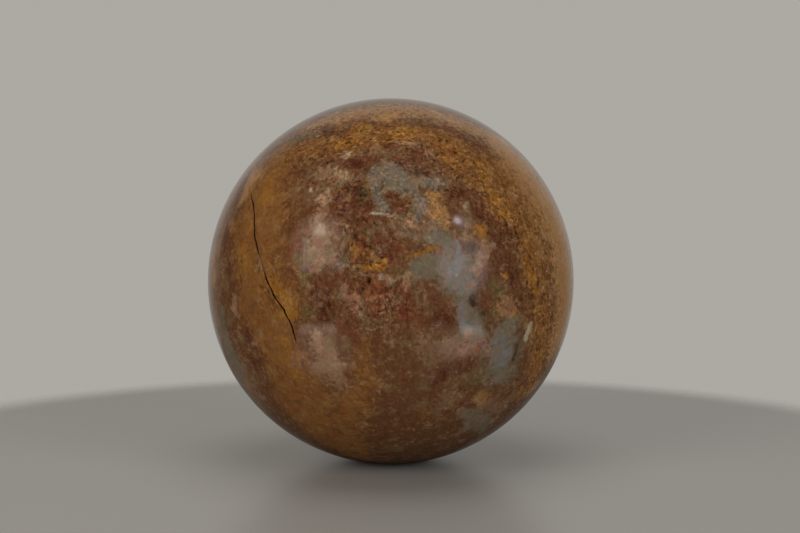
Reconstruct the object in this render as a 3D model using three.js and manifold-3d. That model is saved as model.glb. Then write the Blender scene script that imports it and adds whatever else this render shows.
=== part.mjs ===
// A decorative ball turned and polished from one piece of jasper, for a shelf or a desk.
// It stands on a small flat ground on its underside, so that it doesn't roll away.
// A hairline crack runs down its front left side, opened by polishing to a fine groove.
//
// Frame: millimetres, +Z up, the front towards -Y. The origin is the centre of the flat.

import * as THREE from "three";
import { mergeVertices } from "three/addons/utils/BufferGeometryUtils.js";
import Module from "manifold-3d";

// Driving dimensions.
const BALL_RADIUS = 50;
const FLAT_RADIUS = 7; // the ground flat that the ball stands on
const CRACK_WIDTH = 0.6; // across the groove at the surface
const CRACK_RUN_OUT = 0.35; // how far the cutter lifts clear of the surface at each end of the crack

// The crack's route, as [longitude, latitude] in degrees. Longitude 0 is the front and grows to the right,
// and latitude grows upwards from the middle of the ball.
const CRACK_ROUTE = [
  [-57, 31],
  [-50, 25],
  [-47, 21],
  [-45, 16],
  [-42, 12],
  [-38, 4],
  [-35, -1],
  [-31, -5],
  [-29, -10],
  [-28, -16],
];

// How finely the solids are faceted.
const BALL_SECTORS = 80;
const BALL_ROWS = 38;
const CRACK_STEPS = 60;
const CRACK_SIDES = 8;

// Worked out from the driving dimensions.
const CENTRE_HEIGHT = Math.sqrt(BALL_RADIUS ** 2 - FLAT_RADIUS ** 2);
const FLAT_ANGLE = Math.asin(FLAT_RADIUS / BALL_RADIUS);

const wasm = await Module();
wasm.setup();

// A closed geometry as a manifold-3d solid.
function solidOf(geometry) {
  const bare = geometry.clone();
  bare.deleteAttribute("normal");
  bare.deleteAttribute("uv");
  const merged = mergeVertices(bare, 1e-4);
  return new wasm.Manifold(
    new wasm.Mesh({
      numProp: 3,
      vertProperties: merged.attributes.position.array,
      triVerts: new Uint32Array(merged.index.array),
    }),
  );
}

// A manifold-3d solid as a geometry that three.js can show.
function geometryOf(solid) {
  const mesh = solid.getMesh();
  const geometry = new THREE.BufferGeometry();
  geometry.setAttribute("position", new THREE.BufferAttribute(mesh.vertProperties, 3));
  geometry.setIndex(new THREE.BufferAttribute(mesh.triVerts, 1));
  const flatShaded = geometry.toNonIndexed();
  flatShaded.computeVertexNormals();
  return flatShaded;
}

// The ball with its flat: half of its outline, turned about the upright axis.
function ballGeometry() {
  const profile = [new THREE.Vector2(0, 0)];
  for (let row = 0; row < BALL_ROWS; row += 1) {
    const angle = FLAT_ANGLE + ((Math.PI - FLAT_ANGLE) * row) / BALL_ROWS;
    profile.push(
      new THREE.Vector2(BALL_RADIUS * Math.sin(angle), CENTRE_HEIGHT - BALL_RADIUS * Math.cos(angle)),
    );
  }
  profile[1].y = 0; // the flat's rim lies exactly in the flat
  profile.push(new THREE.Vector2(0, CENTRE_HEIGHT + BALL_RADIUS));
  return new THREE.LatheGeometry(profile, BALL_SECTORS).rotateX(Math.PI / 2);
}

// The point at a longitude and latitude, at a distance from the ball's centre.
function pointAt([longitude, latitude], distance) {
  const lon = THREE.MathUtils.degToRad(longitude);
  const lat = THREE.MathUtils.degToRad(latitude);
  return new THREE.Vector3(
    distance * Math.sin(lon) * Math.cos(lat),
    -distance * Math.cos(lon) * Math.cos(lat),
    CENTRE_HEIGHT + distance * Math.sin(lat),
  );
}

// What the crack takes away: a thin rod laid along the route, half sunk in the surface.
// It lifts out of the stone at both ends, where the crack closes up.
function crackCutterGeometry() {
  const last = CRACK_ROUTE.length - 1;
  const points = CRACK_ROUTE.map((place, i) => {
    const lift = i === 0 || i === last ? CRACK_RUN_OUT : 0;
    return pointAt(place, BALL_RADIUS + lift);
  });
  const section = new THREE.Shape();
  section.absarc(0, 0, CRACK_WIDTH / 2, 0, 2 * Math.PI);
  return new THREE.ExtrudeGeometry(section, {
    steps: CRACK_STEPS,
    curveSegments: CRACK_SIDES,
    bevelEnabled: false,
    extrudePath: new THREE.CatmullRomCurve3(points),
  });
}

const jasper = new THREE.MeshStandardMaterial({
  color: 0x8a5a2c,
  roughness: 0.12,
  metalness: 0,
});

const ball = new THREE.Mesh(
  geometryOf(solidOf(ballGeometry()).subtract(solidOf(crackCutterGeometry()))),
  jasper,
);
ball.name = "jasper_ball";

const part = new THREE.Group();
part.add(ball);

export default part;
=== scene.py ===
# %% [markdown]
# # A polished jasper ball
#
# The object is one piece of jasper, ground to a ball 100 mm across and polished. It stands on a small
# ground flat, and an old hairline crack runs down its front left side. The looks of such a ball are
# nearly all in the stone, so most of this lesson is about the stone's pattern: where each mineral lies,
# how its grains break up the edges, and how the polish turns them glossy.

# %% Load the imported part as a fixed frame
import math

import bpy
import numpy as np
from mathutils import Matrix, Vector


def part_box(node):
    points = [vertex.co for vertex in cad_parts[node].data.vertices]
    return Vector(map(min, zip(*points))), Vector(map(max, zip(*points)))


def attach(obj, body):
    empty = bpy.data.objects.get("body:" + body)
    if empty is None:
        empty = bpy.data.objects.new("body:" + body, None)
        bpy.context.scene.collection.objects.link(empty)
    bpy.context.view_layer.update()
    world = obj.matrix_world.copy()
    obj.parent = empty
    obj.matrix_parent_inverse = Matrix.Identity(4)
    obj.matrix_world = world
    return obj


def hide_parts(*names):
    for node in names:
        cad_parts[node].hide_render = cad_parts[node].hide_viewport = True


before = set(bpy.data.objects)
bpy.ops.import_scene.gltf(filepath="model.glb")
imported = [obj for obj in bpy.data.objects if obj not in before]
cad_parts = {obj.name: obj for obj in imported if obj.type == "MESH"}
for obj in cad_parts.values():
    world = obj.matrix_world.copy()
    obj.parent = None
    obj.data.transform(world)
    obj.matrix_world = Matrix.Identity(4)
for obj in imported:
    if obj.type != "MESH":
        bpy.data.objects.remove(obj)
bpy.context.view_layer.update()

BALL_NODE = "jasper_ball"

# %% [markdown]
# ## Sizes
#
# The frame gives the ball's box, and every size follows from it: the radius is half its width, and the
# centre lies one radius below the top. The ball is cut off a little below that, where the flat is.

# %% Work out the ball's radius, centre and flat
MM = 0.001
box_low, box_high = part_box(BALL_NODE)
RADIUS = (box_high.x - box_low.x) / 2
CENTRE = Vector((0, 0, box_high.z - RADIUS))
FLAT_RADIUS = math.sqrt(RADIUS**2 - CENTRE.z**2)
print(f"radius {RADIUS / MM:.2f} mm, centre at {CENTRE.z / MM:.2f} mm")
print(f"the flat is {2 * FLAT_RADIUS / MM:.1f} mm across")

# %% [markdown]
# ## Places on the ball
#
# A place is a longitude and a latitude in degrees. Longitude 0 is the front and grows to the right, and
# latitude grows upwards from the middle of the ball. One function turns places into unit directions.

# %% A direction for each place
def directions(longitude, latitude):
    """Unit vectors: the latitude's cosine shared out between -Y and X by the longitude, its sine along Z."""
    lon = np.radians(longitude)
    lat = np.radians(latitude)
    return np.stack([np.sin(lon) * np.cos(lat), -np.cos(lon) * np.cos(lat), np.sin(lat)], axis=-1)


# %% [markdown]
# ## The crack
#
# A crack in a polished stone is a thin groove with ragged walls: the grinding wheel breaks its lips a
# little, and polish never reaches the inside. A texture could only darken a line. Here it is cut into
# the mesh, so that it catches light and shade of its own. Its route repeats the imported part's.

# %% The crack's route, as a longitude for each latitude
CRACK_ROUTE = [
    (-57, 31),
    (-50, 25),
    (-47, 21),
    (-45, 16),
    (-42, 12),
    (-38, 4),
    (-35, -1),
    (-31, -5),
    (-29, -10),
    (-28, -16),
]
CRACK_WIDTH = 0.55 * MM
CRACK_DEPTH = 0.5 * MM
CRACK_TAPER = 5  # degrees of latitude over which each end closes up


def crack_longitude(latitude):
    """Straight pieces between the route's places, with the route's end longitudes kept beyond its ends."""
    lons, lats = zip(*reversed(CRACK_ROUTE))
    return np.interp(latitude, lats, lons)


def crack_opening(latitude):
    """1 along the crack and 0 beyond its ends, with a smooth step of the taper's length at each end."""
    low, high = CRACK_ROUTE[-1][1], CRACK_ROUTE[0][1]
    inside = np.minimum(latitude - low, high - latitude) / CRACK_TAPER
    t = np.clip(inside, 0, 1)
    return t * t * (3 - 2 * t)


# %% [markdown]
# ## The ball's surface
#
# A ball is a function of two parameters, and its rows and columns need not be even. Here the columns
# start from the crack and lie about fourteen times closer inside it, so the groove has a true
# cross-section while the whole ball stays under 200,000 triangles.

# %% Rows and columns of the grid
ROWS = 234
COLUMNS = 420
CRACK_TIGHTNESS = 0.07  # spacing of the columns in the crack, against the spacing elsewhere
CRACK_COLUMNS = 0.045  # share of the half turn over which the spacing grows back

latitudes = np.linspace(-90, 90, ROWS + 2)[1:-1]
across = (np.arange(COLUMNS + 1) - COLUMNS / 2) / (COLUMNS / 2)
spacing = 1 - (1 - CRACK_TIGHTNESS) * np.exp(-((across / CRACK_COLUMNS) ** 2))
turned = np.concatenate([[0], np.cumsum((spacing[1:] + spacing[:-1]) / 2)])
offsets = (turned - turned[COLUMNS // 2]) / turned[-1] * 360
offsets = offsets[:-1]
print(f"columns are {np.diff(offsets).min() * math.radians(RADIUS / MM):.3f} mm apart in the crack")

grid_latitude, grid_offset = np.meshgrid(latitudes, offsets, indexing="ij")
# Waves that make the crack wander: radians of phase for each radian of latitude, mm, first phase.
WANDER = [(20.7, 0.18, 0.4), (42.3, 0.12, 2.1), (81.9, 0.08, 1.2)]
wander = sum(size * np.sin(rate * np.radians(grid_latitude) + phase) for rate, size, phase in WANDER)
grid_longitude = crack_longitude(grid_latitude) + grid_offset
grid_longitude += np.degrees(wander * MM / RADIUS) * crack_opening(grid_latitude)


# %% How deep the groove is
RAGGEDNESS = 0.25  # how much the crack's width varies, as a share of it
RAGGED_WAVES = (67, 151)  # radians of phase for each radian of latitude
END_WIDTH = 0.3  # the width where the crack closes, as a share of its full width
LEAST_WIDTH = 1e-7  # keeps the division below safe
WALL_CURVE = 0.8  # below 1 the groove is a little fuller than a plain V


def groove_depth(latitude, offset):
    """A V across the crack: full depth at its middle, and nothing from half a width away."""
    slant = np.gradient(crack_longitude(latitudes), latitudes)
    lean = np.cos(np.arctan(slant * np.cos(np.radians(latitudes))))[:, None]
    distance = np.abs(np.radians(offset)) * RADIUS * np.cos(np.radians(latitude)) * lean
    opening = crack_opening(latitude)
    lat = np.radians(latitude)
    ragged = 1 + RAGGEDNESS * np.sin(lat * RAGGED_WAVES[0]) * np.cos(lat * RAGGED_WAVES[1])
    narrowed = END_WIDTH + (1 - END_WIDTH) * opening
    half_width = np.maximum(CRACK_WIDTH / 2 * ragged * narrowed, LEAST_WIDTH)
    share = np.clip(1 - distance / half_width, 0, 1)
    return CRACK_DEPTH * opening * share**WALL_CURVE


depth = groove_depth(grid_latitude, grid_offset)
print(f"the groove is {depth.max() / MM:.2f} mm deep")


# %% Points of the ball, with its eased flat
FLAT_EASE = 0.08 * MM  # how softly the flat turns into the ball


def eased_floor(height):
    """The larger of a height and nothing, with the corner between them rounded."""
    return (height + np.sqrt(height**2 + FLAT_EASE**2)) / 2


outward = directions(grid_longitude, grid_latitude)
points = outward * (RADIUS - depth)[..., None] + np.array(CENTRE)
lowest = eased_floor(np.array(CENTRE.z - RADIUS))
points[..., 2] = eased_floor(points[..., 2]) - lowest * (points[..., 2] < 0)
poles = np.array([(0, 0, 0), (0, 0, CENTRE.z + RADIUS)])


# %% A closed mesh from the grid and its two poles
def ball_faces(rows, columns):
    """Quads between neighbouring rows and columns, and a fan of triangles to each pole."""
    index = np.arange(rows * columns).reshape(rows, columns)
    right = np.roll(index, -1, axis=1)
    quads = np.stack([index[:-1], right[:-1], right[1:], index[1:]], axis=-1).reshape(-1, 4)
    south = np.full(columns, rows * columns)
    north = south + 1
    fans = np.concatenate([
        np.stack([right[0], index[0], south], axis=-1),
        np.stack([index[-1], right[-1], north], axis=-1),
    ])
    return quads.tolist() + fans.tolist()


vertices = np.concatenate([points.reshape(-1, 3), poles])
ball_mesh = bpy.data.meshes.new("polished_ball")
ball_mesh.from_pydata(vertices.tolist(), [], ball_faces(ROWS, COLUMNS))
ball_mesh.shade_smooth()
ball = bpy.data.objects.new("polished_ball", ball_mesh)
bpy.context.scene.collection.objects.link(ball)
triangles = sum(len(face.vertices) - 2 for face in ball_mesh.polygons)
print(f"the ball has {triangles} triangles and lowest point {points[..., 2].min() / MM:.4f} mm")

# %% [markdown]
# ## Where each mineral lies
#
# Jasper is quartz in grains too fine to see, coloured by what came with it: goethite makes it ochre,
# hematite maroon, and clearer grey quartz, called chalcedony, fills the gaps between them. The broad
# areas are laid here as strokes along routes on the ball, each a list of places with a half
# width in millimetres. Every vertex then knows how deep it lies inside each mineral. The material
# breaks the soft edges up into grains later, which needs far finer detail than vertices can hold. The
# back and the underside have fewer and broader strokes, because nobody looks at them for long.

# %% Strokes on the ball
# Most strokes are minerals, but a few are painted highlights and painted reflections laid into the colour.
# Each of those is marked where it stands.
way_out = np.concatenate([outward.reshape(-1, 3), [(0, 0, -1), (0, 0, 1)]])
WARP_WAVES = 24
WARP_LENGTHS = (6, 25)  # mm
WARP_SIZE = 0.6 * MM
EDGE_FALL = 2.5  # how sharply a stroke ends at its half width


def warped(places, seed):
    """Directions shaken by a sum of sine waves 6 to 25 mm long, so that no outline is a clean curve."""
    rng = np.random.default_rng(seed)
    lengths = rng.uniform(*WARP_LENGTHS, WARP_WAVES) * MM
    waves = rng.normal(size=(WARP_WAVES, 3))
    waves *= (2 * math.pi / lengths / np.linalg.norm(waves, axis=1))[:, None]
    phases = rng.uniform(0, 2 * math.pi, WARP_WAVES)
    shifts = rng.normal(size=(WARP_WAVES, 3)) * WARP_SIZE / math.sqrt(WARP_WAVES) * 2
    moved = places * RADIUS + np.sin(places * RADIUS @ waves.T + phases) @ shifts
    return moved / np.linalg.norm(moved, axis=1)[:, None]


def stroke_field(places, stroke):
    """Nearness to a route: 1 on it, one half at its half width, then falling off. The nearest point of
    each piece of the route is found on its chord and put back on the ball."""
    nearness = np.zeros(len(places))
    stops = [(directions(lon, lat), half_width) for lon, lat, half_width in stroke]
    for (start, start_width), (end, end_width) in zip(stops, stops[1:] or stops):
        chord = end - start
        length = max(float(chord @ chord), 1e-12)
        t = np.clip((places - start) @ chord / length, 0, 1)
        nearest = start + t[:, None] * chord
        nearest /= np.linalg.norm(nearest, axis=1)[:, None]
        distance = np.linalg.norm(places - nearest, axis=1) * RADIUS / MM
        half_width = start_width + t * (end_width - start_width)
        nearness = np.maximum(nearness, 0.5 ** ((distance / half_width) ** EDGE_FALL))
    return nearness


def mineral_field(places, strokes):
    """Strokes joined as veils are: what one leaves clear, the next may cover."""
    clear = np.ones(len(places))
    for strength, *stroke in strokes:
        clear *= 1 - strength * stroke_field(places, stroke)
    return 1 - clear


# %% Ochre and gold, which goethite colours
# Each stroke is its strength, then its places: longitude, latitude and half width in mm.
OCHRE = [
    (1.0, (-52, 42, 5), (-48, 30, 8), (-45, 20, 10), (-41, 8, 10.5), (-38, -2, 10), (-35, -12, 7.5),
     (-34, -22, 7.5), (-32, -32, 8), (-28, -42, 9), (-25, -52, 8.5), (-20, -62, 5)),
    (0.75, (-44, 42, 4), (-34, 44, 4), (-24, 47, 4.5), (-15, 50, 5.5), (-5, 51, 5), (6, 52, 5),
     (16, 50, 5), (24, 45, 5.5)),
    (0.7, (24, 44, 6), (32, 36, 7), (38, 27, 6.5), (43, 19, 5)),
    (0.6, (44, 40, 5), (50, 26, 5), (54, 10, 5)),
    (0.75, (46, 14, 4), (47, 4, 5), (51, -8, 6), (55, -20, 5.5), (56, -32, 4.5)),
    (0.7, (-7, -18, 4), (-7, -31, 4)),
    (0.8, (-14, -36, 4)),
    (0.8, (27, 17, 1.8)),
    (0.8, (-8, 12, 2.5)),
    (0.65, (13, -38, 2.2)),
    (0.9, (28, -11, 0.9), (28, -17, 1.0)),
    (0.8, (17, -2, 1.2)),
    (1.0, (120, 25, 10), (140, 0, 12), (128, -32, 10)),
    (0.9, (-120, 55, 8), (-150, 40, 9), (-175, 25, 7)),
    (0.9, (-140, -35, 9), (-160, -50, 8)),
]
GOLD = [
    (0.7, (-46, 33, 2), (-43, 27, 2.4)),
    (0.6, (-50, 20, 1.8), (-48, 8, 2.4)),
    (0.8, (-36, 4, 2), (-33, -2, 2.4), (-29, -7, 2)),
    (0.6, (-33, -14, 2), (-30, -24, 2)),
    (0.85, (1, 52, 1.8), (8, 51.5, 2.2)),
    (0.7, (-19, 55, 1.6), (-17, 50, 1.6)),
    (0.8, (-22, 46, 1.4), (-14, 46, 1.6)),
    (0.7, (20, 40, 1.4)),
    (0.8, (22, 36, 1.3)),
    (0.7, (33, 40, 1.6), (34, 33, 1.6)),
    (1.0, (36, 27, 2), (37, 23, 2.2)),
    (1.0, (-7, 8.3, 0.9), (-1, 8.3, 0.9)),
    (0.6, (6, 9.6, 0.5), (10, 10.8, 0.6)),
    (1.0, (10.5, 11.2, 0.6), (13.5, 12.4, 0.6)),
    (0.9, (42, 9, 0.9), (43.5, 4, 1.4), (46, -1, 1)),
    (1.0, (47, -7, 1.5)),
    (1.0, (27, 17, 1.3)),
    (0.9, (33, 4, 1.0)),
    (0.6, (57, -20, 2), (57, -27, 2)),
    (0.7, (46, 14, 0.8), (47, 8, 0.8)),
    (0.9, (140, 8, 5), (146, -8, 4)),
    (0.8, (-150, 42, 4), (-138, -36, 4)),
]

# %% Maroon and brick red, which hematite colours
MAROON = [
    (1.0, (-20, 38.5, 1.4), (-8, 38, 1.6), (2, 38, 1.4)),
    (1.0, (6, 38, 2), (9, 35.5, 1.8), (14, 36.5, 2), (18, 36, 1.6)),
    (1.0, (21, 29, 2.4), (28, 27, 3.2), (30, 23, 2.4)),
    (1.0, (29, 21, 2.2), (37, 17.5, 2.2), (42, 18, 1.6)),
    (1.0, (32, 16, 2.2), (35, 9, 3.4), (37, 4, 3)),
    (0.8, (46, 28, 2), (45, 20, 2)),
    (1.0, (-8.5, 28, 2.2), (-8, 23, 2.2)),
    (1.0, (0.5, 29.5, 1.4), (1, 25, 2.2), (3, 23.5, 2)),
    (0.75, (-44, 45, 2), (-34, 47, 2)),
    (0.75, (40, 30, 2), (46, 16, 2)),
    (0.75, (36, 40, 2), (40, 45, 2)),
    (0.7, (-36, 26, 2.5), (-34, 21, 2.5)),
    (0.9, (-3, 16, 2.2), (0, 11, 2.4)),
    (1.0, (1, 11.5, 1.4)),
    (0.7, (-14, 30, 3.5), (-14, 22, 3)),
    (0.9, (12, -3, 1.8)),
    (0.9, (13, -7, 2.4), (17, -8, 2)),
    (0.8, (-22, -1, 3), (-16, -4, 3)),
    (0.8, (16, -22, 4), (24, -22, 3.5)),
    (1.0, (-46, -5, 1.8), (-45, -12, 2.2), (-46, -22, 2.4), (-47, -31, 2.4)),
    (0.8, (-57, 16, 1.4), (-55, 4, 1.4)),
    (0.7, (-31, 18, 1.6), (-30, 8, 1.6)),
    (1.0, (150, 35, 7), (165, 10, 7), (168, -18, 6)),
    (1.0, (-100, 20, 6), (-108, -5, 7), (-104, -30, 6)),
    (0.9, (100, 50, 5), (95, 30, 5)),
]
RED = [
    (0.8, (-27.5, 17, 1.0), (-28, 11, 1.2)),
    (0.9, (-5.5, 3, 2.0), (-3, -4, 2.4)),
    (0.65, (4, -4, 2.2)),
    (0.65, (5, 13, 2.0)),
    (0.8, (-8, 13, 2)),
    (0.7, (7, -8, 3)),
    (0.8, (22, 16, 1.5)),
    (0.7, (28, 7, 2)),
    (0.7, (-47, 16, 1.0), (-46, 12, 1.0)),
    (0.8, (-115, 35, 5), (-125, 20, 4)),
    (0.8, (110, 5, 5), (104, -8, 4)),
]

# %% Grey-green chalcedony, and bluish where it is thickest
CHALCEDONY = [
    (1.0, (1, 35, 2.2), (6, 32, 2.6)),
    (1.0, (12, 33, 2), (16, 32, 1.5)),
    (1.0, (-4, 35, 1.6), (-4.5, 28, 1.4), (-3.5, 23, 2)),
    (1.0, (8, 27, 1.5), (8, 22, 1.5)),
    (0.8, (11, 25, 1.2)),
    (1.0, (13, 16, 2.6), (17, 14, 2.2)),
    (0.8, (7, 16, 1.3)),
    (1.0, (8, 6, 2.2), (13, 7, 3)),
    (1.0, (19, 8, 2.8), (21, 3, 3), (22, -4, 3.2), (24, -11, 2.8)),
    (0.6, (16, 2, 2)),
    (1.0, (34, -11.5, 3.2), (37, -17, 5.2), (38, -24, 4.4)),
    (0.8, (37, -8, 2)),
    (1.0, (-61, -9, 2), (-61, -16, 4), (-62, -26, 3.5)),
    (0.9, (31, -39, 2.2), (39, -43, 4), (46, -46, 3.5)),
    (0.7, (-25, 13, 1.2), (-24, 8, 1.5)),
    (0.7, (-15, 9, 2)),
    (1.0, (175, -35, 7), (-170, -20, 8), (-165, 5, 7)),
    (1.0, (88, 5, 4), (92, -15, 5)),
    (0.8, (-80, 50, 5)),
]
BLUE = [
    (1.0, (15.5, 7, 1.7)),
    (1.0, (18.7, 11.5, 1.1), (18.2, 8, 1.1)),
    (0.9, (21, -3, 1.6), (23, -10, 1.6)),
    (1.0, (34, -14, 2.4), (36, -19, 2.6)),
    (1.0, (-168, -12, 4)),
]

# %% Cream and pink quartz, with painted highlights and reflections among it, and pale tan towards the right
PALE_QUARTZ_AND_REFLECTIONS = [
    (1.0, (-21.5, 29, 1.6), (-20.5, 23.5, 1.8)),
    (0.8, (-24, 35, 2.4), (-18, 34, 2)),
    # Painted highlight: the pale pink glow of the left soft box in the polish, over the lamp's own
    # reflection.
    (0.9, (-21, 18, 3.2), (-19, 10, 4)),
    (1.0, (-11, 1, 1.0), (-9.5, -2.5, 1.8), (-8, -5, 1.4)),
    (1.0, (-2, 3.5, 1.3)),
    (1.0, (3, 3, 2.0)),
    (1.0, (14, 12, 1.0)),
    (1.0, (26, 14, 1.6), (26, 9, 1.8), (24, 5.5, 1.4)),
    (0.8, (22, 16.5, 1.6)),
    (0.8, (29, 12, 1.6)),
    (0.8, (35, -4, 1.8)),
    # Painted reflection: the bright patch on the table to the right, mirrored low on the polish, with its
    # pinkish glow below; the right cards add the real one.
    (1.0, (22, -12, 1.6)),
    (0.7, (21, -17, 2.2)),
    (0.8, (26, -15, 1.2)),
    (1.0, (-51, -3, 1.6), (-51, -7, 1.6)),
    (0.8, (-52, -14, 1.4)),
    (0.8, (-53, -37, 2)),
    # Partly pale stone and partly a painted reflection of the bright patch on the table, mirrored low on the
    # left; the left cards add the real one.
    (1.0, (-21, -14, 2.8), (-19, -20, 3.6)),
    (0.8, (-16, -26, 2.6)),
    (0.9, (25, -36, 1.2)),
    (0.8, (4, 48, 1.0), (9, 47, 1.0)),
    (0.7, (15, 43, 1.8)),
    (0.8, (6, 21, 1.4)),
    (0.8, (-19, 42, 1.6)),
    (0.8, (22, 24, 1.2)),
    (0.7, (22, 2, 1.4)),
    (0.8, (105, -30, 5), (112, -12, 4)),
    (0.9, (-130, 10, 5), (-138, -8, 5)),
]
TAN = [
    (1.0, (60, 48, 6), (63, 34, 8), (66, 18, 9), (68, -2, 9), (67, -16, 7)),
    (0.6, (50, 44, 4), (54, 33, 4)),
    (0.85, (15, 28, 2.4), (16, 21, 2.6)),
    (0.7, (33, -3, 2.4), (38, -5, 2.2)),
    (0.65, (33, -33, 2.5)),
    (0.9, (63, -32, 2.5)),
    (0.62, (-50, 55, 4), (-30, 62, 5), (0, 66, 5), (30, 63, 5), (45, 56, 4)),
    (0.8, (0, 60, 2.5)),
    (0.8, (-60, 36, 3), (-58, 28, 2)),
    (0.7, (-70, 10, 2), (-68, 2, 2)),
]

# %% Mauve-brown, olive-brown, the darkest spots, and pale specks: milky quartz and painted glints
MAUVE = [
    (1.0, (-74, 40, 5), (-72, 20, 5.5), (-68, 4, 6), (-66, -10, 5), (-60, -34, 4)),
    (0.8, (-20, -22, 5)),
    (0.8, (12, -14, 4), (20, -17, 4)),
    (0.8, (22, -24, 4)),
    (0.8, (27, 23, 1.2)),
    (0.8, (-17, 31, 3)),
    (0.9, (12, 24, 2.2), (11, 17, 3), (3, 19, 3)),
    (0.7, (18, -2, 2.4)),
    (0.7, (35, -37, 4), (45, -38, 3)),
    (0.8, (-90, -50, 8), (-130, -60, 8)),
]
OLIVE = [
    (1.0, (-9, 30, 1.5)),
    (0.9, (-25, 5, 1.2), (-24, -5, 1.4)),
    (0.8, (-7, 16, 2.2), (-4, 18, 1.8)),
    (0.9, (3, 6, 2), (9, 5, 2)),
    (0.8, (46, 25, 2.2)),
    (0.9, (35, 15, 1.6)),
    (0.8, (16, 30, 1.5)),
    (0.8, (30, -25, 3.5)),
    (0.8, (32, 1, 2.2), (31, -7, 2.4)),
    (0.75, (50, 22, 2.4), (50, 10, 2.2)),
    (0.8, (-8, -24, 2)),
    (0.8, (-52, 46, 3), (-42, 50, 3)),
    (0.8, (170, 55, 6), (-160, 60, 6)),
]
DARK = [
    (0.75, (22.3, 11.6, 0.8), (22.6, 10.4, 0.8)),
    (0.9, (24, 0, 1.0), (24, -3, 1.0)),
    (0.85, (26.5, -8, 1.3)),
    (0.85, (33, -1, 1)),
    (0.85, (40.5, -15, 0.7), (40.5, -22, 0.7)),
    (0.7, (-9, 30, 0.8)),
    (0.7, (9, 35, 1)),
    (0.7, (-24, -1, 0.6)),
]
# Pale specks: some milky quartz, some painted glints and a painted highlight.
MILKY_SPECKS_AND_GLINTS = [
    (1.0, (-27, 31.5, 0.55)),
    # Painted glint where a chip catches light.
    (0.95, (47.5, -9.5, 0.5), (45.5, -13.5, 0.8)),
    # Painted highlight: a thin line of light reflected across the upper front.
    (0.8, (-5.5, 22, 0.45), (0.5, 22, 0.4)),
    (0.8, (18.6, 5.3, 0.4)),
    (0.8, (-2, 3.6, 0.7)),
    (0.8, (31, 13.5, 0.4)),
]

# %% How granular and how patchy each part of the stone is
GRANULAR = [
    (1.0, (-40, 46, 6), (-15, 47, 8), (10, 47, 8), (26, 40, 8)),
    (1.0, (28, 34, 8), (40, 18, 8), (48, 2, 8), (54, -16, 7), (58, -32, 7)),
    (1.0, (-8, 10, 6), (-2, -4, 7)),
    (0.9, (-14, 28, 9), (4, 24, 9)),
    (0.6, (-20, -2, 6)),
    (0.5, (-36, 2, 5)),
    (0.9, (130, 20, 12), (150, -5, 12)),
    (0.8, (-120, 40, 12), (-150, 30, 12)),
]
PATCHY = [
    (1.0, (-20, 35, 9), (0, 34, 10), (15, 32, 9)),
    (1.0, (-20, 12, 9), (0, 8, 10), (16, 8, 9)),
    (0.9, (25, 0, 8), (35, -10, 8)),
    (0.8, (-12, -3, 8), (4, -5, 8)),
    (0.6, (18, -24, 8), (36, -40, 8)),
    (0.8, (-66, 5, 8), (-58, -30, 8)),
    (0.8, (100, 0, 20)),
    (0.8, (-120, 0, 20)),
    (0.8, (180, 10, 20)),
]

# %% Every field worked out for every vertex, with one for a painted highlight in a stretch of the crack
# Where the crack's wall catches light: a painted highlight, not a mineral.
CRACK_GLINT_STROKES = [(1.0, (-41.5, 10.5, 1.2), (-39, 5, 1.4))]

MINERALS = {
    "ochre": OCHRE,
    "gold": GOLD,
    "maroon": MAROON,
    "red": RED,
    "chalcedony": CHALCEDONY,
    "blue": BLUE,
    "quartz_and_reflections": PALE_QUARTZ_AND_REFLECTIONS,
    "tan": TAN,
    "mauve": MAUVE,
    "olive": OLIVE,
    "dark": DARK,
    "milky_and_glints": MILKY_SPECKS_AND_GLINTS,
    "crack_glint": CRACK_GLINT_STROKES,
    "granular": GRANULAR,
    "patchy": PATCHY,
}
for seed, (mineral, strokes) in enumerate(MINERALS.items()):
    depths = mineral_field(warped(way_out, seed), strokes)
    attribute = ball_mesh.attributes.new(mineral, "FLOAT", "POINT")
    attribute.data.foreach_set("value", depths.astype(np.float32))
    print(f"{mineral} covers {(depths > 0.5).mean():.0%} of the vertices")

crack_share = np.concatenate([(depth / CRACK_DEPTH).ravel(), [0, 0]])
crack_attribute = ball_mesh.attributes.new("crack", "FLOAT", "POINT")
crack_attribute.data.foreach_set("value", crack_share.astype(np.float32))

# %% [markdown]
# ## Tools for the material
#
# Colours are written as sRGB hex values, the way a paint chart gives them, and turned to the linear
# values that the renderer works with. One function adds a node, sets it up and links it.

# %% Colours and nodes
def linear(hex_colour):
    """An sRGB hex colour as linear red, green, blue and alpha."""
    parts = [int(hex_colour[i:i + 2], 16) / 255 for i in (1, 3, 5)]
    return (*[c / 12.92 if c <= 0.04045 else ((c + 0.055) / 1.055) ** 2.4 for c in parts], 1.0)


def add_node(tree, kind, inputs=None, **settings):
    """A node with its settings. Its inputs are links or plain values, by name or number."""
    made = tree.nodes.new(kind)
    for name, value in settings.items():
        setattr(made, name, value)
    for name, value in (inputs or {}).items():
        if isinstance(value, bpy.types.NodeSocket):
            tree.links.new(value, made.inputs[name])
        else:
            made.inputs[name].default_value = value
    return made


# %% [markdown]
# ## Grain
#
# Seen close, this jasper is a felt of grains and worm-like threads 0.5 to 1.5 mm long. Three noises and
# one layer of cells stand for them: patches 4 mm wide, clots, fibres drawn out along the bedding, and
# single grains. All of them are pushed about by a slower noise, so that no cell keeps straight sides.

# %% Coordinates in millimetres from the ball's centre, shaken by a slow noise
jasper = bpy.data.materials.new("jasper_cut_and_polished")
jasper.use_nodes = True
stone = jasper.node_tree
stone.nodes.clear()

FLOW_WAVE = 4.0  # mm between the bends of the flow that shakes every pattern
FLOW_REACH = 1.0  # mm that it moves them each way
BEDDING_TILT = -14  # degrees by which the fibres lean from upright
FIBRE_STRETCH = 2.4  # how much longer fibres are than wide

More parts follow.
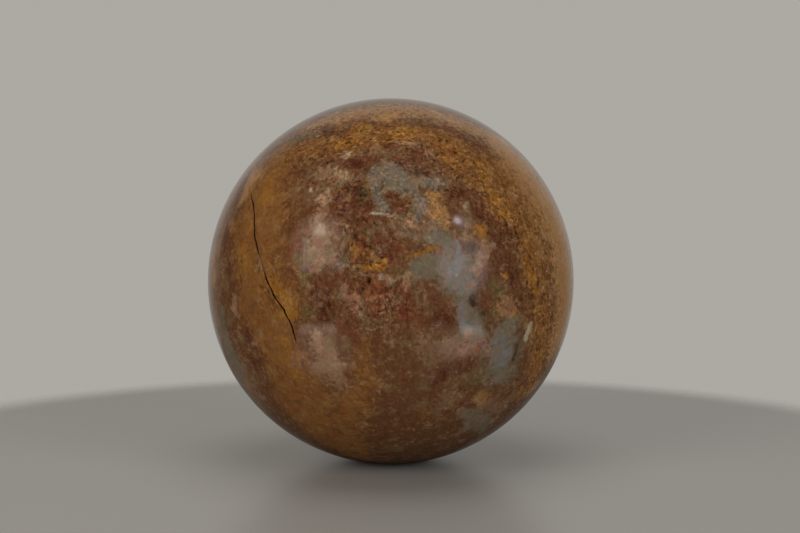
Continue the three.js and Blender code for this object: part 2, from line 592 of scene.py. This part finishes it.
place = add_node(stone, "ShaderNodeTexCoord").outputs["Object"]
in_mm = add_node(stone, "ShaderNodeMapping", {
    "Vector": place,
    "Location": -CENTRE / MM,
    "Scale": (1 / MM, 1 / MM, 1 / MM),
}).outputs["Vector"]


def shaken(vector, wave_mm, reach_mm):
    """A vector moved by noise of that wavelength, up to about that far each way."""
    noise = add_node(stone, "ShaderNodeTexNoise", {"Vector": vector, "Scale": 1 / wave_mm, "Detail": 2.0})
    push = add_node(stone, "ShaderNodeVectorMath", {
        0: noise.outputs["Color"],
        1: (2 * reach_mm, 2 * reach_mm, 2 * reach_mm),
        2: (-reach_mm, -reach_mm, -reach_mm),
    }, operation="MULTIPLY_ADD")
    return add_node(stone, "ShaderNodeVectorMath", {0: vector, 1: push.outputs[0]}).outputs[0]


flowing = shaken(in_mm, FLOW_WAVE, FLOW_REACH)
drawn_out = add_node(stone, "ShaderNodeMapping", {
    "Vector": flowing,
    "Rotation": (0, math.radians(BEDDING_TILT), 0),
    "Scale": (1, 1, FIBRE_STRETCH),
}, vector_type="TEXTURE").outputs["Vector"]


def channels(colour):
    """The three values that a colour carries, which for a noise are three patterns of their own."""
    parts = add_node(stone, "ShaderNodeSeparateColor", {"Color": colour}).outputs
    return [parts["Red"], parts["Green"], parts["Blue"]]


def weighted(*pairs):
    """A sum of values, each times its weight."""
    total = 0.0
    for value, weight in pairs:
        total = add_node(stone, "ShaderNodeMath", {0: value, 1: weight, 2: total},
                         operation="MULTIPLY_ADD").outputs[0]
    return total


def stepped(value, low, high, top=1.0):
    """0 at low and the top value at high, with a smooth step between."""
    return add_node(stone, "ShaderNodeMapRange", {
        "Value": value, "From Min": low, "From Max": high, "To Max": top},
        interpolation_type="SMOOTHSTEP").outputs["Result"]


def field(name):
    """How deep each place lies inside a mineral, as laid on the vertices."""
    return add_node(stone, "ShaderNodeAttribute", attribute_name=name).outputs["Fac"]


# %% Patches, clots, grains and threads
PATCH_SIZE = 3.8  # mm
CLOT_SIZE = 1.3  # mm
FIBRE_SIZE = 1.1  # mm
GRAIN_SIZE = 0.7  # mm, drawn coarser than the real quartz grains, which are too fine to see
GRAIN_SHAKE = (0.6, 0.25)  # mm between bends and mm each way, which takes the grains' straight sides away

patches = channels(add_node(stone, "ShaderNodeTexNoise", {
    "Vector": flowing, "Scale": 1 / PATCH_SIZE, "Detail": 3.0, "Roughness": 0.55}).outputs["Color"])
clots = channels(add_node(stone, "ShaderNodeTexNoise", {
    "Vector": flowing, "Scale": 1 / CLOT_SIZE, "Detail": 4.0, "Roughness": 0.65}).outputs["Color"])
fibres = channels(add_node(stone, "ShaderNodeTexNoise", {
    "Vector": drawn_out, "Scale": 1 / FIBRE_SIZE, "Detail": 3.0, "Roughness": 0.6}).outputs["Color"])
grains = channels(add_node(stone, "ShaderNodeTexVoronoi", {
    "Vector": shaken(flowing, *GRAIN_SHAKE), "Scale": 1 / GRAIN_SIZE}).outputs["Color"])
granular = field("granular")
print(f"patterns from {GRAIN_SIZE} to {PATCH_SIZE} mm, made with {len(stone.nodes)} nodes so far")

# %% [markdown]
# ## From fields to minerals
#
# Each mineral has a colour of its own and three tints, one for each kind of patch. Its field, plus
# noise, is stepped to a mask: where the field is near one half, patches of either mineral show inside
# the other.

# %% Masks and mixtures
# The numbers of the Mix node's sockets that carry colours.
MIX_FACTOR = 0
MIX_A = 6
MIX_B = 7
MIX_OUT = 2


def mixed(below, above, mask):
    """The colour above laid over the one below, where the mask says."""
    return add_node(stone, "ShaderNodeMix", {MIX_FACTOR: mask, MIX_A: below, MIX_B: above},
                    data_type="RGBA").outputs[MIX_OUT]


PATCH_EDGE = (0.55, 0.66)  # the noise values between which a patch's edge lies
PATCH_SHARE = 0.85  # how much of its tint a patch takes
PATCHY_PUSH = 0.08  # how far the patchy areas raise the noise, which makes patches wider there

patchiness = field("patchy")
raised_patches = [weighted((patchiness, PATCHY_PUSH), (patch, 1.0)) for patch in patches]
patch_masks = [stepped(raised, *PATCH_EDGE, PATCH_SHARE) for raised in raised_patches]


def mottled(colour, *tints):
    """A colour with a tint of its own in each kind of patch."""
    blend = linear(colour)
    for tint, mask in zip(tints, patch_masks):
        blend = mixed(blend, linear(tint), mask)
    return blend


edge_noise = weighted((patches[0], 0.4), (clots[0], 0.4), (grains[1], 0.2), (0.5, -1.0))


def mask_of(name, roughness, softness):
    """A mineral's field with its edge broken up: roughness is how far it strays, softness how blurred."""
    raised = weighted((edge_noise, roughness), (field(name), 1.0))
    return stepped(raised, 0.5 - softness, 0.5 + softness)


# Each mineral's own colour, then the tints of its three kinds of patch.
brown = mottled("#734B2D", "#84603F", "#826442", "#76442A")
ochre = mottled("#966432", "#A0733A", "#8C5426", "#80532C")
gold = mottled("#A8702C", "#B27E38", "#9C6426", "#A2743C")
maroon = mottled("#6C3E26", "#7C5240", "#72502E", "#5C2E1C")
red = mottled("#84492D", "#98684A", "#8E5A36", "#743822")
grey = mottled("#80705A", "#90765C", "#7E765E", "#8A7868")
blue = mottled("#888078", "#928A86", "#7E766A", "#907862")
quartz_and_reflections = mottled("#A37C5C", "#B89472", "#967C58", "#A06C50")
tan = mottled("#BC8A54", "#C49866", "#B6844A", "#AC7E58")
mauve = mottled("#906A4C", "#7E5A46", "#927656", "#A07A5C")
olive = mottled("#75603C", "#826C48", "#685836", "#7C5C36")

# %% Minerals laid over the brown ground, from the lowest up
# Each has its field's name, its colours, how far its edge strays and how blurred the edge is.
LAYERS = [
    ("mauve", mauve, 2.2, 0.35),
    ("olive", olive, 2.2, 0.35),
    ("maroon", maroon, 2.4, 0.3),
    ("ochre", ochre, 2.2, 0.28),
    ("tan", tan, 2.2, 0.4),
    ("red", red, 2.6, 0.3),
    ("chalcedony", grey, 2.2, 0.32),
    ("blue", blue, 2.0, 0.4),
    # Pale quartz, with painted highlights and painted reflections laid in the same colours.
    ("quartz_and_reflections", quartz_and_reflections, 2.2, 0.35),
    ("gold", gold, 2.4, 0.3),
    ("dark", linear("#4A3A28"), 1.6, 0.4),
    # Milky quartz specks and painted glints.
    ("milky_and_glints", linear("#C8B698"), 1.2, 0.4),
]
colour = brown
for mineral, tones, roughness, softness in LAYERS:
    colour = mixed(colour, tones, mask_of(mineral, roughness, softness))
print(len(LAYERS), "minerals lie over the brown ground")

# %% [markdown]
# ## Light and dark grains
#
# The felt of grains shows as light and dark marks in every mineral. Real grains differ by how much iron
# they hold, which scales their colour up or down, so the marks scale the colour and add almost no
# cream of their own. Some parts are more granular than others, and chalcedony is the finest of all.

# %% Light and dark grains, and threads one grain wide
CREAM = linear("#DCBE98")
BASE_SPREAD = 0.32
spread = weighted((granular, 1.3), (field("chalcedony"), -0.15), (BASE_SPREAD, 1.0))


def thread(pattern, width):
    """1 on the lines where a pattern crosses its middle value, and 0 beyond a width to either side."""
    off_middle = weighted((pattern, 1.0), (0.5, -1.0))
    away = add_node(stone, "ShaderNodeMath", {0: off_middle}, operation="ABSOLUTE").outputs[0]
    return stepped(away, width, width * 0.3)


tone = weighted((clots[1], 0.55), (fibres[0], 0.45))
light_grains = weighted((stepped(tone, 0.52, 0.62), 0.5), (stepped(grains[0], 0.78, 0.9), 0.6),
                        (thread(fibres[1], 0.035), 0.5))
dark_grains = weighted((stepped(tone, 0.48, 0.38), 0.5), (stepped(grains[0], 0.22, 0.1), 0.6),
                       (thread(clots[2], 0.035), 0.6))
shift = add_node(stone, "ShaderNodeMath", {
    0: weighted((light_grains, 0.5), (dark_grains, -0.42)), 1: spread}, operation="MULTIPLY").outputs[0]
colour = add_node(stone, "ShaderNodeVectorMath", {
    0: colour, "Scale": weighted((shift, 1.0), (1.0, 1.0))}, operation="SCALE").outputs[0]
pale_share = add_node(stone, "ShaderNodeMath", {0: light_grains, 1: 0.07}, operation="MULTIPLY").outputs[0]
colour = mixed(colour, CREAM, pale_share)

# %% [markdown]
# ## Inside the crack
#
# The polishing wheel never reaches the groove. Its inside is painted near-black over its deeper half:
# painted shade, darker than the shallow groove shades itself. In one stretch it is painted pale
# instead: a painted highlight where the crack's wall catches light.

# %% The crack's painted shade and painted highlight
CRACK_EDGE = (0.02, 0.5)  # the shares of the full depth between which the stone darkens
crack_mask = stepped(field("crack"), *CRACK_EDGE)
# Painted shade in the groove, and a painted highlight in one stretch of it.
crack_shade_and_glint = mixed(linear("#120B07"), linear("#9A8468"), field("crack_glint"))
colour = mixed(colour, crack_shade_and_glint, crack_mask)

# %% [markdown]
# ## Polish
#
# A stone ball is ground between rotating cups with finer and finer grit, then polished with an oxide
# paste. Jasper takes a glassy polish this way. Its index of refraction is that of quartz, 1.54, and it
# isn't a metal. A roughness of 0.12 keeps the reflections just a little soft.

# %% Surface
shine = add_node(stone, "ShaderNodeBsdfPrincipled", {
    "Base Color": colour,
    "Roughness": 0.12,
    "IOR": 1.54,
})
add_node(stone, "ShaderNodeOutputMaterial", {"Surface": shine.outputs["BSDF"]})
ball_mesh.materials.append(jasper)
print(f"the stone's material has {len(stone.nodes)} nodes")

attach(ball, "root")
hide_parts(BALL_NODE)

# %% [markdown]
# ## Table
#
# The ball stands on a plain table top of pale satin laminate: paper soaked in resin and pressed
# against a board, so its sheen is soft. It is a disc that fades out at its edge. To rays that the
# ball's polish throws back it looks darker, so that the underside of the ball isn't lit up too much.

# %% Table top
FLOOR_RADIUS = 0.18  # metres, as the next two are
FLOOR_FADE = 0.03
FLOOR_HUB = 0.01
FLOOR_RINGS = 24
FLOOR_SECTORS = 96

ring = np.linspace(FLOOR_HUB, FLOOR_RADIUS, FLOOR_RINGS)
turn = np.linspace(0, 2 * math.pi, FLOOR_SECTORS, endpoint=False)
level = np.zeros((FLOOR_RINGS, FLOOR_SECTORS))
floor_points = np.stack([np.outer(ring, np.cos(turn)), np.outer(ring, np.sin(turn)), level], axis=-1)
floor_index = np.arange(FLOOR_RINGS * FLOOR_SECTORS).reshape(FLOOR_RINGS, FLOOR_SECTORS)
floor_right = np.roll(floor_index, -1, axis=1)
floor_quads = np.stack([floor_index[:-1], floor_index[1:], floor_right[1:], floor_right[:-1]], axis=-1)
floor_faces = floor_quads.reshape(-1, 4).tolist() + [floor_index[0].tolist()]
floor_mesh = bpy.data.meshes.new("table_top")
floor_mesh.from_pydata(floor_points.reshape(-1, 3).tolist(), [], floor_faces)
floor = bpy.data.objects.new("table_top", floor_mesh)
bpy.context.scene.collection.objects.link(floor)

laminate = bpy.data.materials.new("pale_satin_laminate")
laminate.use_nodes = True
top = laminate.node_tree
top.nodes.clear()
top_place = add_node(top, "ShaderNodeTexCoord").outputs["Object"]
from_middle = add_node(top, "ShaderNodeVectorMath", {0: top_place}, operation="LENGTH").outputs["Value"]
faded = add_node(top, "ShaderNodeMapRange", {
    "Value": from_middle, "From Min": FLOOR_RADIUS - FLOOR_FADE, "From Max": FLOOR_RADIUS * 0.99,
}, interpolation_type="SMOOTHSTEP").outputs["Result"]
satin = add_node(top, "ShaderNodeBsdfPrincipled", {
    "Base Color": linear("#BDBAB4"), "Roughness": 0.3, "IOR": 1.5})
shaded = add_node(top, "ShaderNodeBsdfPrincipled", {
    "Base Color": linear("#5A5853"), "Roughness": 0.25, "IOR": 1.5})
mirrored_ray = add_node(top, "ShaderNodeLightPath").outputs["Is Glossy Ray"]
surface = add_node(top, "ShaderNodeMixShader", {
    0: mirrored_ray, 1: satin.outputs["BSDF"], 2: shaded.outputs["BSDF"]})
clear = add_node(top, "ShaderNodeBsdfTransparent")
top_mix = add_node(top, "ShaderNodeMixShader", {
    0: faded, 1: surface.outputs["Shader"], 2: clear.outputs["BSDF"]})
add_node(top, "ShaderNodeOutputMaterial", {"Surface": top_mix.outputs["Shader"]})
floor_mesh.materials.append(laminate)
print(f"the table top is {2 * FLOOR_RADIUS:.2f} m across")

# %% [markdown]
# ## Surround
#
# A pale wall surrounds the ball. It lights stone and table faintly and evenly. In the polish it is
# brightest straight behind the ball, so the ball's outline glows and its front stays clear.

# %% World
WALL_SEEN = 0.415  # how bright the wall looks
WALL_LIGHT = 0.1  # how much light it gives
WALL_MIRRORED = (0.035, 0.42)  # how bright it is in the polish, away from the bright side and towards it
BRIGHT_WAY = (0, 0.966, 0.26)  # behind the ball and a little up

world = bpy.data.worlds.new("studio")
world.use_nodes = True
bpy.context.scene.world = world
room = world.node_tree
room.nodes.clear()
toward = add_node(room, "ShaderNodeTexCoord").outputs["Generated"]
facing = add_node(room, "ShaderNodeVectorMath", {
    0: toward, 1: BRIGHT_WAY}, operation="DOT_PRODUCT").outputs["Value"]
behind = add_node(room, "ShaderNodeMapRange", {
    "Value": facing, "From Min": 0.6, "From Max": 1.0,
    "To Min": WALL_MIRRORED[0], "To Max": WALL_MIRRORED[1],
}, interpolation_type="SMOOTHSTEP").outputs["Result"]
ray = add_node(room, "ShaderNodeLightPath").outputs
around = add_node(room, "ShaderNodeMix", {
    0: ray["Is Diffuse Ray"], 2: behind, 3: WALL_LIGHT}, data_type="FLOAT").outputs[0]
strength = add_node(room, "ShaderNodeMix", {
    0: ray["Is Camera Ray"], 2: around, 3: WALL_SEEN}, data_type="FLOAT").outputs[0]
pale = add_node(room, "ShaderNodeBackground", {
    "Color": linear("#FFFBF2"), "Strength": strength})
add_node(room, "ShaderNodeOutputWorld", {"Surface": pale.outputs["Background"]})
print(f"the wall looks {WALL_SEEN / WALL_LIGHT:.1f} times as bright as it lights the ball")

# %% [markdown]
# ## Lamps
#
# Two soft boxes stand in front of the ball, left and right, each with a small bright core, and a faint
# halo beside the right one. Their reflections are the glows on the polish. An overhead lamp and two
# fills give most of the light, and the polish doesn't mirror them.


# %% Lamps around the ball
def soft_box(name, azimuth, elevation, distance, size, watts, tint="#FFFFFF", mirrored=True):
    """A round lamp at a direction from the ball's centre, facing it. Degrees, metres and watts."""
    lamp = bpy.data.lights.new(name, "AREA")
    lamp.shape = "DISK"
    lamp.size = size
    lamp.energy = watts
    lamp.color = linear(tint)[:3]
    made = bpy.data.objects.new(name, lamp)
    made.location = CENTRE + Vector(directions(azimuth, elevation)) * distance
    made.rotation_euler = (CENTRE - made.location).to_track_quat("-Z", "Y").to_euler()
    made.visible_camera = False
    made.visible_glossy = mirrored
    bpy.context.scene.collection.objects.link(made)


soft_box("overhead", 0, 88, 0.9, 0.7, 1.65, mirrored=False)
soft_box("left_fill", -45, 15, 0.9, 0.5, 2.0, mirrored=False)
soft_box("right_fill", 45, 15, 0.9, 0.5, 2.0, mirrored=False)
soft_box("left_box", -46, 24, 0.6, 0.34, 0.24, tint="#FFE2D2")
soft_box("left_core", -46.5, 30, 0.55, 0.065, 0.045, tint="#FFEADC")
soft_box("right_box", 44, 10, 0.6, 0.33, 0.21, tint="#E0ECFF")
soft_box("right_core", 46.5, 35, 0.55, 0.035, 0.03, tint="#F4F4FF")
soft_box("right_halo", 51, 33, 0.55, 0.075, 0.016, tint="#FFDDE4")


# %% [markdown]
# ## Cards on the table
#
# Low on the ball the polish mirrors the table in front of it, where two patches of light lie. Cards
# that shine upwards stand for them, each a bright one with a dimmer one between it and the ball.


# %% Cards
CARD_LIFT = 1 * MM


def glow_card(name, azimuth, near, far, width, watts_per_area, tint):
    """A card lying on the table from near to far along an azimuth, shining up into the polish only."""
    lamp = bpy.data.lights.new(name, "AREA")
    lamp.shape = "RECTANGLE"
    lamp.size = width
    lamp.size_y = far - near
    lamp.energy = watts_per_area * width * (far - near)
    lamp.color = linear(tint)[:3]
    made = bpy.data.objects.new(name, lamp)
    made.location = Vector(directions(azimuth, 0)) * (near + far) / 2 + Vector((0, 0, CARD_LIFT))
    made.rotation_euler = (math.pi, 0, math.radians(azimuth))
    made.visible_camera = False
    made.visible_diffuse = False
    bpy.context.scene.collection.objects.link(made)


glow_card("left_card", -38, 0.12, 0.148, 0.05, 4.0, "#FFE2D4")
glow_card("left_card_tail", -36, 0.07, 0.12, 0.05, 1.4, "#FFDCD0")
glow_card("right_card", 43, 0.122, 0.146, 0.03, 5.0, "#F4EEF4")
glow_card("right_card_tail", 40, 0.085, 0.122, 0.045, 1.8, "#FFD8DC")

# %% [markdown]
# ## Camera
#
# The camera stands in front, a little above the ball's middle, and looks slightly down past it. Its
# distance is measured in ball radii.

# %% Camera
CAMERA_DISTANCE = 7.354 * RADIUS
CAMERA_AZIMUTH = 0.39  # degrees, as the next two are
CAMERA_ELEVATION = 3.65
CAMERA_DOWN = 3.03

lens = bpy.data.cameras.new("camera")
lens.lens = 60
lens.sensor_width = 36
lens.clip_start = 0.01
lens.clip_end = 20
camera = bpy.data.objects.new("camera", lens)
camera.location = CENTRE + Vector(directions(CAMERA_AZIMUTH, CAMERA_ELEVATION)) * CAMERA_DISTANCE
camera.rotation_euler = (math.radians(90 - CAMERA_DOWN), 0, 0)
bpy.context.scene.collection.objects.link(camera)
bpy.context.scene.camera = camera
bpy.context.scene.view_settings.view_transform = "Standard"
print(f"the camera is {CAMERA_DISTANCE / MM:.0f} mm from the ball's centre, with a {lens.lens:.0f} mm lens")
